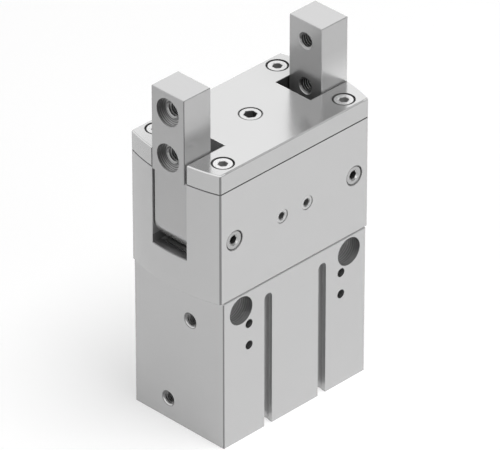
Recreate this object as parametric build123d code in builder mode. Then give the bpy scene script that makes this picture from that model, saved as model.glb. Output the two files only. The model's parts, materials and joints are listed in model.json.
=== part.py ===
from build123d import *
from math import acos, cos, pi, radians, sin, tan
import os

# Two-jaw pneumatic radial gripper. Millimetres, +Z up, origin at the centre of the base.
# X runs along the long front face, the front face looks towards -Y, the jaws are drawn closed.

# Cylinder block
block_width = 69.1
block_depth = 43.1
block_height = 58.7
block_corner = 0.35
block_step = 0.35
seam_edge = 0.25

# Jaw housing and cover
housing_width = 71.0
housing_height = 43.8
end_radius = 64.0
housing_corner = 0.45
cover_thickness = 7.5
cover_edge = 0.45
slot_width = 16.4
slot_depth = 30.1
notch_inner = 20.45
slot_lip = 0.25

# Jaws
pivot_spacing = 57.7
pivot_depth = 20.7
jaw_width = 15.44
jaw_outer_offset = 10.19
jaw_inner_offset = 2.38
heel_radius = 9.1
step_rise = 20.5
jaw_rise = 53.1
jaw_edge = 0.2
jaw_hole_spacing = 17.7
jaw_hole_drop = 7.6
jaw_hole_radius = 3.0
jaw_seat_radius = 5.25
jaw_seat_depth = 2.4
thread_mouth = 0.25

# Rack and gear segments
gear_module = 1.0
gear_teeth_in_circle = 20
gear_first_tooth = -6
gear_last_tooth = 0
rack_tooth_count = 6
pressure_angle = 20.0
tooth_play = 0.08
root_gap = 0.25
tooth_foot = 0.5
crosshead_top_margin = 2.4
crosshead_bottom_margin = 2.1
crosshead_side_gap = 0.1
gear_relief = 0.4
rack_pocket_gap = 0.65
pocket_floor_gap = 1.5
rod_hole_gap = 0.3
opening_angle = 90.0
overclose_angle = 3.0

# Pivot pins and bushes
pin_radius = 3.0
pin_end_gap = 0.3
pin_edge = 0.3
bush_wall = 1.0
bush_inset = 0.4
plug_radius = 3.55
plug_length = 4.7
plug_recess = 0.3
plug_key = 3.0
plug_ring_gap = 0.14

# Guide screws that keep the crosshead from turning
guide_screw_x = 6.0
guide_screw_drop = 21.4
guide_screw_radius = 2.5
guide_screw_key = 2.5
dog_radius = 1.5
dog_reach = 2.0
groove_play = 0.1
groove_floor_gap = 0.2

# Piston and bore
bore_radius = 16.0
bore_top_wall = 11.5
cap_height = 5.1
cap_edge = 0.4
cap_groove_height = 2.0
cap_groove_depth = 1.5
cap_hole_spacing = 18.0
cap_hole_radius = 1.5
cap_hole_depth = 2.5
cap_step = 1.2
cap_shoulder = 7.0
ring_thickness = 1.2
ring_width = 3.0
ring_groove_depth = 1.0
ring_groove_gap = 0.1
ring_mouth = 5.0
ring_lug_radius = 2.1
ring_lug_hole = 0.9
ring_lug_spacing = 9.0
ring_lug_inset = 3.6
piston_side_gap = 0.2
piston_land = 1.68
piston_rest_gap = 1.6
piston_relief_height = 1.2
piston_relief = 1.2
seal_height = 3.0
seal_depth = 3.0
seal_pocket_depth = 4.6
seal_lip = 0.6
magnet_height = 4.0
magnet_depth = 3.4
guide_ring_height = 3.2
guide_ring_depth = 1.6
rod_radius = 6.0
spigot_radius = 4.0
spigot_rise = 8.0
nut_flats = 13.0
nut_height = 5.0
rod_end_rise = 1.0
rod_thread_depth = 12.5
nut_pocket_radius = 8.5
nut_pocket_depth = 8.0
bumper_inner = 9.0
bumper_outer = 12.0
bumper_seat = 0.7
lower_bumper_rise = 0.9
upper_bumper_rise = 1.1

# Screws and dowels
m4_radius = 2.0
m4_head_radius = 3.5
m4_head_height = 4.0
m4_key = 3.0
m4_clear_radius = 2.25
cover_screw_x = 28.93
cover_screw_y = 15.78
cover_screw_length = 16.0
cover_head_well = 4.1
cover_head_sink = 0.15
tap_runout = 1.2
housing_screw_x = 17.0
housing_screw_y = 14.6
housing_screw_length = 20.0
housing_head_well = 3.75
housing_seat_height = 12.0
m6_radius = 3.0
m6_head_radius = 5.0
m6_head_height = 6.0
m6_key = 5.0
rack_screw_length = 16.0
rack_head_sink = 0.5
rack_head_gap = 0.25
rack_screw_gap = 0.3
m8_radius = 4.0
m8_key = 4.0
cover_plug_length = 6.8
dowel_radius = 1.5
dowel_length = 8.0
cover_dowel_y = 14.6
housing_dowel_y = 18.0

# Ports, sensor slots and mounting holes
port_radius = 2.5
port_depth = 8.0
port_chamfer = 0.5
port_drill_radius = 1.0
upper_port_y = -5.55
upper_port_z = 45.1
upper_drill_rise = 0.9
lower_port_y = 5.44
lower_port_z = 8.16
sensor_slot_x = 13.1
sensor_slot_top = 53.7
sensor_mouth_width = 3.7
sensor_channel_radius = 2.3
sensor_channel_depth = 3.0
side_hole_x = 26.14
side_hole_z = 52.6
side_hole_radius = 3.3
side_well_radius = 5.35
side_well_depth = 13.0
front_tap_x = 22.35
front_tap_low = 37.0
front_tap_high = 45.67
front_tap_radius = 1.65
front_tap_depth = 8.0
base_hole_x = 28.5
base_hole_y = 15.0
base_hole_radius = 3.0
base_hole_depth = 12.0
base_dowel_radius = 2.5
base_dowel_depth = 4.0

# Clearances
seat_gap = 0.02
running_gap = 0.03

# Levels and places that follow from the sizes above
housing_base = block_height
housing_depth = block_depth - 2 * block_step
housing_top = block_height + housing_height
cover_top = housing_top + cover_thickness
cover_seat = cover_top - m4_head_height - cover_head_sink
slot_floor = housing_top - slot_depth
pivot_x = pivot_spacing / 2
pivot_z = housing_top - pivot_depth
end_crest = housing_width / 2 + end_radius - (end_radius**2 - (housing_depth / 2) ** 2) ** 0.5
pitch_radius = gear_module * gear_teeth_in_circle / 2
tip_radius = pitch_radius + gear_module
root_radius = pitch_radius - gear_module - root_gap
base_circle = pitch_radius * cos(radians(pressure_angle))
tooth_pitch = pi * gear_module
tooth_step = 360 / gear_teeth_in_circle
rack_line = pivot_x - pitch_radius
rack_root = rack_line - gear_module - root_gap
rack_tip = rack_line + gear_module
rack_top = pivot_z + crosshead_top_margin
rack_bottom = pivot_z - (rack_tooth_count - 1) * tooth_pitch - crosshead_bottom_margin
open_travel = pitch_radius * radians(opening_angle)
close_travel = pitch_radius * radians(overclose_angle)
crosshead_depth = slot_width - 2 * crosshead_side_gap
pocket_floor = rack_bottom - close_travel - pocket_floor_gap
bore_top = block_height - bore_top_wall
piston_bottom = cap_shoulder + piston_rest_gap
piston_height = 5 * piston_land + 2 * seal_height + magnet_height + guide_ring_height
piston_top = piston_bottom + piston_height
piston_radius = bore_radius - piston_side_gap
hub_bore = pin_radius + running_gap + bush_wall
front_face = housing_depth / 2
pin_half_length = front_face - plug_recess - plug_length - pin_end_gap
block_front = block_depth / 2
jaw_top = pivot_z + jaw_rise

print("open travel", round(open_travel, 3), "rod shoulder at", round(rack_bottom, 3))
print("crosshead top when open", round(rack_top + open_travel, 3), "below", housing_top)

os.makedirs("parts", exist_ok=True)


def save(piece, name):
    piece.label = name
    export_step(piece, f"parts/{name}.step")


def front_plane(x, z, y):
    # Plane on a front face: local X is the row's X, local Y is up, the normal looks to -Y
    return Plane(origin=(x, y, z), x_dir=(1, 0, 0), z_dir=(0, -1, 0))


def left_plane(y, z, x):
    # Plane on a left end face: local X is the row's Y, the normal looks to -X
    return Plane(origin=(x, y, z), x_dir=(0, 1, 0), z_dir=(-1, 0, 0))


def cap_screw(radius, length, head_radius, head_height, key_flats):
    # Socket head cap screw with its seat at the origin and its shank down -Z
    with BuildPart() as screw:
        Cylinder(head_radius, head_height, align=(Align.CENTER, Align.CENTER, Align.MIN))
        chamfer(screw.edges().group_by(Axis.Z)[-1], head_radius * 0.08)
        with BuildSketch(Plane.XY.offset(head_height)):
            RegularPolygon(key_flats / 2, 6, major_radius=False)
        extrude(amount=-head_height / 2, mode=Mode.SUBTRACT)
        with BuildSketch():
            Circle(radius)
        extrude(amount=-length)
        chamfer(screw.edges().group_by(Axis.Z)[0], radius * 0.2)
    return screw.part


def set_screw(radius, length, key_flats, dog=0.0, dog_length=0.0):
    # Socket set screw with its driven end at the origin and its point down -Z
    with BuildPart() as screw:
        Cylinder(radius, length, align=(Align.CENTER, Align.CENTER, Align.MAX))
        chamfer(screw.edges().group_by(Axis.Z)[0] + screw.edges().group_by(Axis.Z)[-1], radius * 0.08)
        with BuildSketch():
            RegularPolygon(key_flats / 2, 6, major_radius=False)
        extrude(amount=-min(key_flats, length * 0.6), mode=Mode.SUBTRACT)
        if dog > 0:
            with BuildSketch(Plane.XY.offset(-length)):
                Circle(dog)
            extrude(amount=-dog_length)
    return screw.part


def ring(inner, outer, bottom, height):
    # Plain ring about the Z axis
    with BuildPart() as band:
        with BuildSketch(Plane.XY.offset(bottom)):
            Circle(outer)
            Circle(inner, mode=Mode.SUBTRACT)
        extrude(amount=height)
    return band.part


def curved_end_block(bottom, height, lower_edge, upper_edge):
    # The outline shared by the jaw housing and its cover: straight sides and bowed ends
    half = housing_width / 2
    with BuildPart() as block:
        with BuildSketch(Plane.XY.offset(bottom)):
            with BuildLine():
                Line((-half, -front_face), (half, -front_face))
                ThreePointArc((half, -front_face), (end_crest, 0), (half, front_face))
                Line((half, front_face), (-half, front_face))
                ThreePointArc((-half, front_face), (-end_crest, 0), (-half, -front_face))
            make_face()
        extrude(amount=height)
        chamfer(block.edges().filter_by(Axis.Z), housing_corner)
        chamfer(block.edges().group_by(Axis.Z)[0], lower_edge)
        chamfer(block.edges().group_by(Axis.Z)[-1], upper_edge)
    return block.part


# Cylinder block
with BuildPart() as cylinder_body:
    Box(block_width, block_depth, block_height, align=(Align.CENTER, Align.CENTER, Align.MIN))
    chamfer(cylinder_body.edges().filter_by(Axis.Z), block_corner)
    chamfer(cylinder_body.edges().group_by(Axis.Z)[-1], seam_edge)

    # Bore, bottom cap seat and the groove of its retaining ring
    with BuildSketch():
        Circle(bore_radius)
    extrude(amount=bore_top, mode=Mode.SUBTRACT)
    with BuildSketch():
        Circle(bore_radius + cap_step)
    extrude(amount=cap_shoulder, mode=Mode.SUBTRACT)
    with BuildSketch(Plane.XY.offset(cap_shoulder - cap_height - ring_thickness - seat_gap)):
        Circle(bore_radius + cap_step + ring_groove_depth)
    extrude(amount=ring_thickness + seat_gap, mode=Mode.SUBTRACT)

    # Seats in the top wall: rod bush, rod seal and upper bumper
    with BuildSketch(Plane.XY.offset(bore_top)):
        Circle(rod_radius + running_gap + bush_wall + seat_gap)
        Circle(bumper_outer + seat_gap)
        Circle(bumper_inner - seat_gap, mode=Mode.SUBTRACT)
        Circle(rod_radius + running_gap + bush_wall + seat_gap)
    extrude(amount=bumper_seat, mode=Mode.SUBTRACT)
    with BuildSketch(Plane.XY.offset(bore_top)):
        Circle(rod_radius + running_gap + bush_wall + seat_gap)
    extrude(amount=bore_top_wall, mode=Mode.SUBTRACT)
    with BuildSketch(Plane.XY.offset(block_height)):
        Circle(rod_radius + seal_depth)
    extrude(amount=-seal_pocket_depth, mode=Mode.SUBTRACT)

    # Holes for the screws and dowels that hold the jaw housing
    with BuildSketch(Plane.XY.offset(block_height)):
        with GridLocations(2 * housing_screw_x, 2 * housing_screw_y, 2, 2):
            Circle(m4_radius + running_gap)
    extrude(amount=-(housing_screw_length - housing_seat_height + tap_runout), mode=Mode.SUBTRACT)
    with BuildSketch(Plane.XY.offset(block_height)):
        with GridLocations(0, 2 * housing_dowel_y, 1, 2):
            Circle(dowel_radius + seat_gap)
    extrude(amount=-(dowel_length / 2 + seat_gap), mode=Mode.SUBTRACT)

    # Air ports on the left end, each with its drilling into the bore
    for port_y, port_z, drill_z in (
        (upper_port_y, upper_port_z, upper_port_z + upper_drill_rise),
        (lower_port_y, lower_port_z, lower_port_z),
    ):
        with BuildSketch(left_plane(port_y, port_z, -block_width / 2)):
            Circle(port_radius)
        extrude(amount=-port_depth, mode=Mode.SUBTRACT)
        with BuildSketch(left_plane(port_y, port_z, -block_width / 2)):
            Circle(port_radius + port_chamfer)
        extrude(amount=-port_chamfer, taper=45, mode=Mode.SUBTRACT)
        with BuildSketch(left_plane(port_y, drill_z, -block_width / 2 + port_depth - 1)):
            Circle(port_drill_radius)
        extrude(amount=-(block_width / 2 - port_depth + 1 - bore_radius * 0.85), mode=Mode.SUBTRACT)

    # Sensor slots: a round channel behind a narrower mouth, open at the bottom end
    channel_y = -block_front + sensor_channel_depth
    with BuildSketch():
        with Locations((-sensor_slot_x, channel_y), (sensor_slot_x, channel_y)):
            Circle(sensor_channel_radius)
    extrude(amount=sensor_slot_top - sensor_channel_radius, mode=Mode.SUBTRACT)
    mouth_top = sensor_slot_top - sensor_mouth_width / 2
    for slot_x in (-sensor_slot_x, sensor_slot_x):
        with BuildSketch(front_plane(slot_x, 0, -block_front)):
            with Locations((0, mouth_top / 2)):
                Rectangle(sensor_mouth_width, mouth_top)
            with Locations((0, mouth_top)):
                Circle(sensor_mouth_width / 2)
        extrude(amount=-sensor_channel_depth, mode=Mode.SUBTRACT)

    # Side mounting holes from front to back, with deep wells for their screw heads
    with Locations(
        front_plane(-side_hole_x, side_hole_z, -block_front),
        front_plane(side_hole_x, side_hole_z, -block_front),
    ):
        CounterBoreHole(side_hole_radius, side_well_radius, side_well_depth)

    # Four tapped holes on the front
    for tap_z in (front_tap_low, front_tap_high):
        with Locations(
            front_plane(-front_tap_x, tap_z, -block_front), front_plane(front_tap_x, tap_z, -block_front)
        ):
            Hole(front_tap_radius, front_tap_depth)

    # Tapped and dowel holes in the base
    with BuildSketch():
        with GridLocations(2 * base_hole_x, 2 * base_hole_y, 2, 2):
            Circle(base_hole_radius)
    extrude(amount=base_hole_depth, mode=Mode.SUBTRACT)
    with BuildSketch():
        with GridLocations(2 * base_hole_x, 0, 2, 1):
            Circle(base_dowel_radius)
    extrude(amount=base_dowel_depth, mode=Mode.SUBTRACT)
save(cylinder_body.part, "cylinder_body")

# Bottom closure of the bore
cap_bottom = cap_shoulder - cap_height
cap_radius = bore_radius + cap_step - seat_gap
cap_groove_level = cap_bottom + (cap_height - bumper_seat - cap_groove_height) / 2
with BuildPart() as end_cap:
    with BuildSketch(Plane.XY.offset(cap_bottom)):
        Circle(cap_radius)
    extrude(amount=cap_height - seat_gap)
    chamfer(end_cap.edges().group_by(Axis.Z)[0], cap_edge)
    with BuildSketch(Plane.XY.offset(cap_groove_level)):
        Circle(cap_radius + cap_groove_depth)
        Circle(cap_radius - cap_groove_depth, mode=Mode.SUBTRACT)
    extrude(amount=cap_groove_height, mode=Mode.SUBTRACT)
    with BuildSketch(Plane.XY.offset(cap_shoulder - bumper_seat)):
        Circle(bumper_outer + seat_gap)
        Circle(bumper_inner - seat_gap, mode=Mode.SUBTRACT)
    extrude(amount=bumper_seat, mode=Mode.SUBTRACT)
    with BuildSketch(Plane.XY.offset(cap_bottom)):
        with GridLocations(cap_hole_spacing, 0, 2, 1):
            Circle(cap_hole_radius)
    extrude(amount=cap_hole_depth, mode=Mode.SUBTRACT)
save(end_cap.part, "end_cap")
cap_seal_height = cap_groove_height - 2 * seat_gap
cap_seal_inner = cap_radius - cap_groove_depth + seat_gap
save(ring(cap_seal_inner, cap_radius, cap_groove_level + seat_gap, cap_seal_height), "end_cap_seal")

# Retaining ring with its two lugs and their plier holes
ring_bottom = cap_bottom - ring_thickness
ring_outer = bore_radius + cap_step + ring_groove_depth - ring_groove_gap
with BuildPart() as retaining_ring:
    with BuildSketch(Plane.XY.offset(ring_bottom)):
        Circle(ring_outer)
        Circle(ring_outer - ring_width, mode=Mode.SUBTRACT)
        with Locations((0, -ring_outer)):
            Rectangle(ring_mouth, 4 * ring_width, mode=Mode.SUBTRACT)
        with GridLocations(ring_lug_spacing, 0, 2, 1):
            with Locations((0, -ring_outer + ring_lug_inset)):
                Circle(ring_lug_radius)
                Circle(ring_lug_hole, mode=Mode.SUBTRACT)
    extrude(amount=ring_thickness - seat_gap)
save(retaining_ring.part, "retaining_ring")

# Rod guide, rod seal and the two end-stop bumpers
bush_outer = rod_radius + running_gap + bush_wall
seal_pocket_floor = block_height - seal_pocket_depth
bush_bottom = bore_top + bush_inset
save(ring(rod_radius + running_gap, bush_outer, bush_bottom, seal_pocket_floor - bush_bottom), "rod_bush")
with BuildPart() as rod_seal:
    seal_inner = rod_radius + running_gap
    seal_outer = rod_radius + seal_depth - seat_gap
    seal_top = block_height - seal_lip / 2
    with BuildSketch(Plane.XZ):
        with BuildLine():
            Polyline(
                (seal_inner + seal_lip, seal_pocket_floor + seat_gap),
                (seal_outer, seal_pocket_floor + seat_gap),
                (seal_outer, seal_top),
                (seal_outer - seal_lip, seal_top),
                (seal_outer - 2 * seal_lip, seal_top - seal_height / 2),
                (seal_inner + 2 * seal_lip, seal_top - seal_height / 2),
                (seal_inner + seal_lip, seal_top),
                (seal_inner, seal_top - seal_lip),
                close=True,
            )
        make_face()
    revolve(axis=Axis.Z)
save(rod_seal.part, "rod_seal")
save(
    ring(bumper_inner, bumper_outer, cap_shoulder - bumper_seat, bumper_seat + lower_bumper_rise),
    "lower_bumper",
)
save(
    ring(bumper_inner, bumper_outer, bore_top - upper_bumper_rise, bumper_seat + upper_bumper_rise),
    "upper_bumper",
)

# Jaw housing
with BuildPart() as jaw_housing:
    add(curved_end_block(housing_base, housing_height, seam_edge, seam_edge))

    # Slot from end to end, round reliefs under the gear segments, and the rack pocket
    with BuildSketch(Plane.XY.offset(slot_floor)):
        Rectangle(2 * end_crest + 2, slot_width)
    extrude(amount=slot_depth, mode=Mode.SUBTRACT)
    floor_edges = jaw_housing.edges().filter_by(lambda e: abs(e.center().Z - slot_floor) < slot_lip)
    chamfer(floor_edges.filter_by(lambda e: abs(e.center().X) > housing_width / 2), slot_lip)
    for side in (-1, 1):
        with BuildSketch(front_plane(side * pivot_x, pivot_z, 0)):
            Circle(tip_radius + gear_relief)
        extrude(amount=slot_width / 2, both=True, mode=Mode.SUBTRACT)
    with BuildSketch(Plane.XY.offset(pocket_floor)):
        Rectangle(2 * (rack_tip + rack_pocket_gap), slot_width)
    extrude(amount=slot_floor - pocket_floor, mode=Mode.SUBTRACT)
    with BuildSketch(Plane.XY.offset(housing_base)):
        Circle(rod_radius + rod_hole_gap)
    extrude(amount=pocket_floor - housing_base, mode=Mode.SUBTRACT)

    # Wells and holes of the screws into the cylinder block
    with BuildSketch(Plane.XY.offset(housing_top)):
        with GridLocations(2 * housing_screw_x, 2 * housing_screw_y, 2, 2):
            Circle(housing_head_well)
    extrude(amount=-(housing_height - housing_seat_height), mode=Mode.SUBTRACT)
    with BuildSketch(Plane.XY.offset(housing_base)):
        with GridLocations(2 * housing_screw_x, 2 * housing_screw_y, 2, 2):
            Circle(m4_clear_radius)
    extrude(amount=housing_seat_height, mode=Mode.SUBTRACT)

    # Tapped holes and dowel holes of the cover, and dowel holes to the cylinder block
    with BuildSketch(Plane.XY.offset(housing_top)):
        with GridLocations(2 * cover_screw_x, 2 * cover_screw_y, 2, 2):
            Circle(m4_radius + running_gap)
    extrude(amount=cover_seat - cover_screw_length - housing_top - tap_runout, mode=Mode.SUBTRACT)
    with BuildSketch(Plane.XY.offset(housing_top)):
        with GridLocations(0, 2 * cover_dowel_y, 1, 2):
            Circle(dowel_radius + seat_gap)
    extrude(amount=-(dowel_length / 2 + seat_gap), mode=Mode.SUBTRACT)
    with BuildSketch(Plane.XY.offset(housing_base)):
        with GridLocations(0, 2 * housing_dowel_y, 1, 2):
            Circle(dowel_radius + seat_gap)
    extrude(amount=dowel_length / 2 + seat_gap, mode=Mode.SUBTRACT)

    # Pivot pin bores, blind at the back, with the threads of their plugs in front
    for side in (-1, 1):
        with BuildSketch(front_plane(side * pivot_x, pivot_z, -front_face)):
            Circle(pin_radius + seat_gap)
        extrude(amount=-(front_face + pin_half_length + seat_gap), mode=Mode.SUBTRACT)
        with BuildSketch(front_plane(side * pivot_x, pivot_z, -front_face)):
            Circle(plug_radius + plug_ring_gap)
        extrude(amount=-(plug_recess + plug_length), mode=Mode.SUBTRACT)
        with BuildSketch(front_plane(side * guide_screw_x, housing_top - guide_screw_drop, -front_face)):
            Circle(guide_screw_radius + plug_ring_gap)
        extrude(amount=-(front_face - slot_width / 2), mode=Mode.SUBTRACT)
save(jaw_housing.part, "jaw_housing")

# Cover plate
with BuildPart() as cover_plate:
    add(curved_end_block(housing_top, cover_thickness, seam_edge, cover_edge))
    notch_length = end_crest - notch_inner
    with BuildSketch(Plane.XY.offset(housing_top)):
        with GridLocations(2 * notch_inner + notch_length + 2, 0, 2, 1):
            Rectangle(notch_length + 2, slot_width)
    extrude(amount=cover_thickness, mode=Mode.SUBTRACT)
    with Locations(Plane.XY.offset(cover_top)):
        with GridLocations(2 * cover_screw_x, 2 * cover_screw_y, 2, 2):
            CounterBoreHole(m4_clear_radius, cover_head_well, m4_head_height + cover_head_sink)
        Hole(m8_radius + plug_ring_gap)
    with BuildSketch(Plane.XY.offset(housing_top)):
        with GridLocations(0, 2 * cover_dowel_y, 1, 2):
            Circle(dowel_radius + seat_gap)
    extrude(amount=dowel_length / 2 + seat_gap, mode=Mode.SUBTRACT)
save(cover_plate.part, "cover_plate")

# Fasteners, each kind one group of separate solids
with BuildPart() as cover_screws:
    with Locations(Plane.XY.offset(cover_seat)):
        with GridLocations(2 * cover_screw_x, 2 * cover_screw_y, 2, 2):
            add(cap_screw(m4_radius, cover_screw_length, m4_head_radius, m4_head_height, m4_key))
save(cover_screws.part, "cover_screws")

with BuildPart() as housing_screws:
    with Locations(Plane.XY.offset(housing_base + housing_seat_height)):
        with GridLocations(2 * housing_screw_x, 2 * housing_screw_y, 2, 2):
            add(cap_screw(m4_radius, housing_screw_length, m4_head_radius, m4_head_height, m4_key))
save(housing_screws.part, "housing_screws")

with BuildPart() as cover_plug:
    with Locations((0, 0, cover_top - cover_head_sink)):
        add(set_screw(m8_radius, cover_plug_length, m8_key))
save(cover_plug.part, "cover_plug")

with BuildPart() as pivot_plugs:
    with Locations(
        front_plane(-pivot_x, pivot_z, -front_face + plug_recess),
        front_plane(pivot_x, pivot_z, -front_face + plug_recess),
    ):
        add(set_screw(plug_radius, plug_length, plug_key))
save(pivot_plugs.part, "pivot_plugs")

dog_length = dog_reach + crosshead_side_gap
guide_length = front_face - plug_recess - slot_width / 2
with BuildPart() as guide_screws:
    with Locations(
        front_plane(-guide_screw_x, housing_top - guide_screw_drop, -front_face + plug_recess),
        front_plane(guide_screw_x, housing_top - guide_screw_drop, -front_face + plug_recess),
    ):
        add(set_screw(guide_screw_radius, guide_length, guide_screw_key, dog_radius, dog_length))
save(guide_screws.part, "guide_screws")

for dowel_name, dowel_y, dowel_z in (
    ("cover_dowels", cover_dowel_y, housing_top),
    ("housing_dowels", housing_dowel_y, housing_base),
):
    with BuildPart() as dowels:
        with BuildSketch(Plane.XY.offset(dowel_z)):
            with GridLocations(0, 2 * dowel_y, 1, 2):
                Circle(dowel_radius)
        extrude(amount=dowel_length / 2, both=True)
    save(dowels.part, dowel_name)

# Piston with its grooves, and what sits in them
seal_levels = (piston_bottom + piston_land, piston_top - piston_land - seal_height)
magnet_level = seal_levels[0] + seal_height + piston_land
guide_level = magnet_level + magnet_height + piston_land
with BuildPart() as piston:
    with BuildSketch(Plane.XY.offset(piston_bottom)):
        Circle(piston_radius)
    extrude(amount=piston_height)
    for end_level in (piston_bottom, piston_top - piston_relief_height):
        with BuildSketch(Plane.XY.offset(end_level)):
            Circle(piston_radius + 1)
            Circle(piston_radius - piston_relief, mode=Mode.SUBTRACT)
        extrude(amount=piston_relief_height, mode=Mode.SUBTRACT)
    for level, height, depth in (
        (seal_levels[0], seal_height, seal_depth),
        (seal_levels[1], seal_height, seal_depth),
        (magnet_level, magnet_height, magnet_depth),
        (guide_level, guide_ring_height, guide_ring_depth),
    ):
        with BuildSketch(Plane.XY.offset(level)):
            Circle(piston_radius + 1)
            Circle(piston_radius - depth, mode=Mode.SUBTRACT)
        extrude(amount=height, mode=Mode.SUBTRACT)
    with BuildSketch(Plane.XY.offset(piston_bottom)):
        Circle(nut_pocket_radius)
    extrude(amount=nut_pocket_depth, mode=Mode.SUBTRACT)
    with BuildSketch(Plane.XY.offset(piston_bottom)):
        Circle(spigot_radius + seat_gap)
    extrude(amount=piston_height, mode=Mode.SUBTRACT)
save(piston.part, "piston")

with BuildPart() as piston_seals:
    for level in seal_levels:
        with BuildSketch(Plane.XY.offset(level + seat_gap)):
            Circle(bore_radius - running_gap)
            Circle(piston_radius - seal_depth + seat_gap, mode=Mode.SUBTRACT)
        extrude(amount=seal_height - 2 * seat_gap)
save(piston_seals.part, "piston_seals")
save(
    ring(
        piston_radius - magnet_depth + seat_gap,
        piston_radius - seat_gap,
        magnet_level + seat_gap,
        magnet_height - 2 * seat_gap,
    ),
    "piston_magnet",
)
save(
    ring(
        piston_radius - guide_ring_depth + seat_gap,
        bore_radius - running_gap,
        guide_level + seat_gap,
        guide_ring_height - 2 * seat_gap,
    ),
    "piston_guide_ring",
)

# Piston rod: spigots at both ends, the lower for the nut, the upper inside the crosshead
spigot_top = rack_bottom + spigot_rise
nut_seat = piston_bottom + nut_pocket_depth
with BuildPart() as piston_rod:
    with BuildSketch(Plane.XY.offset(nut_seat - nut_height - rod_end_rise)):
        Circle(spigot_radius)
    extrude(amount=spigot_top - nut_seat + nut_height + rod_end_rise)
    with BuildSketch(Plane.XY.offset(piston_top)):
        Circle(rod_radius)
    extrude(amount=rack_bottom - piston_top)
    with BuildSketch(Plane.XY.offset(spigot_top)):
        Circle(m6_radius + seat_gap)
    extrude(amount=-rod_thread_depth, mode=Mode.SUBTRACT)
save(piston_rod.part, "piston_rod")

with BuildPart() as piston_nut:
    with BuildSketch(Plane.XY.offset(nut_seat - nut_height)):
        RegularPolygon(nut_flats / 2, 6, major_radius=False)
        Circle(spigot_radius + seat_gap, mode=Mode.SUBTRACT)
    extrude(amount=nut_height)
save(piston_nut.part, "piston_nut")

# Crosshead with a rack on each side
screw_seat = rack_top - m6_head_height - rack_head_sink
with BuildPart() as rack_crosshead:
    with BuildSketch(Plane.XZ) as rack_profile:
        with Locations((0, (rack_bottom + rack_top) / 2)):
            Rectangle(2 * rack_root, rack_top - rack_bottom)
        for tooth in range(rack_tooth_count):
            tooth_z = pivot_z - tooth * tooth_pitch
            half_line = tooth_pitch / 4 - tooth_play
            half_tip = half_line - gear_module * tan(radians(pressure_angle))
            half_root = half_line + (gear_module + root_gap) * tan(radians(pressure_angle))
            for side in (-1, 1):
                with BuildLine():
                    Polyline(
                        (side * (rack_root - tooth_foot), tooth_z - half_root),
                        (side * rack_root, tooth_z - half_root),
                        (side * rack_tip, tooth_z - half_tip),
                        (side * rack_tip, tooth_z + half_tip),
                        (side * rack_root, tooth_z + half_root),
                        (side * (rack_root - tooth_foot), tooth_z + half_root),
                        close=True,
                    )
                make_face()
    extrude(amount=crosshead_depth / 2, both=True)
    with BuildSketch(Plane.XY.offset(rack_bottom)):
        Circle(spigot_radius + seat_gap)
    extrude(amount=spigot_rise + seat_gap, mode=Mode.SUBTRACT)
    with BuildSketch(Plane.XY.offset(rack_bottom)):
        Circle(m6_radius + rack_screw_gap)
    extrude(amount=rack_top - rack_bottom, mode=Mode.SUBTRACT)
    with BuildSketch(Plane.XY.offset(screw_seat)):
        Circle(m6_head_radius + rack_head_gap)
    extrude(amount=rack_top - screw_seat, mode=Mode.SUBTRACT)

    # Upright grooves in front for the points of the guide screws
    groove_width = 2 * (dog_radius + groove_play)
    with BuildSketch(Plane.XY.offset(rack_bottom)):
        with GridLocations(2 * guide_screw_x, 0, 2, 1):
            with Locations((0, -crosshead_depth / 2)):
                Rectangle(groove_width, 2 * (dog_reach + groove_floor_gap))
    extrude(amount=rack_top - rack_bottom, mode=Mode.SUBTRACT)
save(rack_crosshead.part, "rack_crosshead")

with BuildPart() as rack_screw:
    with Locations((0, 0, screw_seat)):
        add(cap_screw(m6_radius, rack_screw_length, m6_head_radius, m6_head_height, m6_key))
save(rack_screw.part, "rack_screw")

# Pivot pins and jaw bushes
for side, side_name in ((-1, "left"), (1, "right")):
    with BuildPart() as pivot_pin:
        with BuildSketch(front_plane(side * pivot_x, pivot_z, 0)):
            Circle(pin_radius)
        extrude(amount=pin_half_length, both=True)
        chamfer(pivot_pin.edges(), pin_edge)
    save(pivot_pin.part, f"{side_name}_pivot_pin")
    with BuildPart() as jaw_bush:
        with BuildSketch(front_plane(side * pivot_x, pivot_z, 0)):
            Circle(hub_bore - seat_gap)
            Circle(pin_radius + running_gap, mode=Mode.SUBTRACT)
        extrude(amount=jaw_width / 2, both=True)
    save(jaw_bush.part, f"{side_name}_jaw_bush")


def involute_half_angle(radius):
    # Half the angle that a gear tooth takes up at this radius, in radians
    pitch_half = (tooth_pitch / 4 - tooth_play) / pitch_radius
    at_pitch = tan(radians(pressure_angle)) - radians(pressure_angle)
    local = acos(base_circle / radius)
    return pitch_half + at_pitch - (tan(local) - local)


def polar(radius, angle):
    return (radius * cos(angle), radius * sin(angle))


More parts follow.
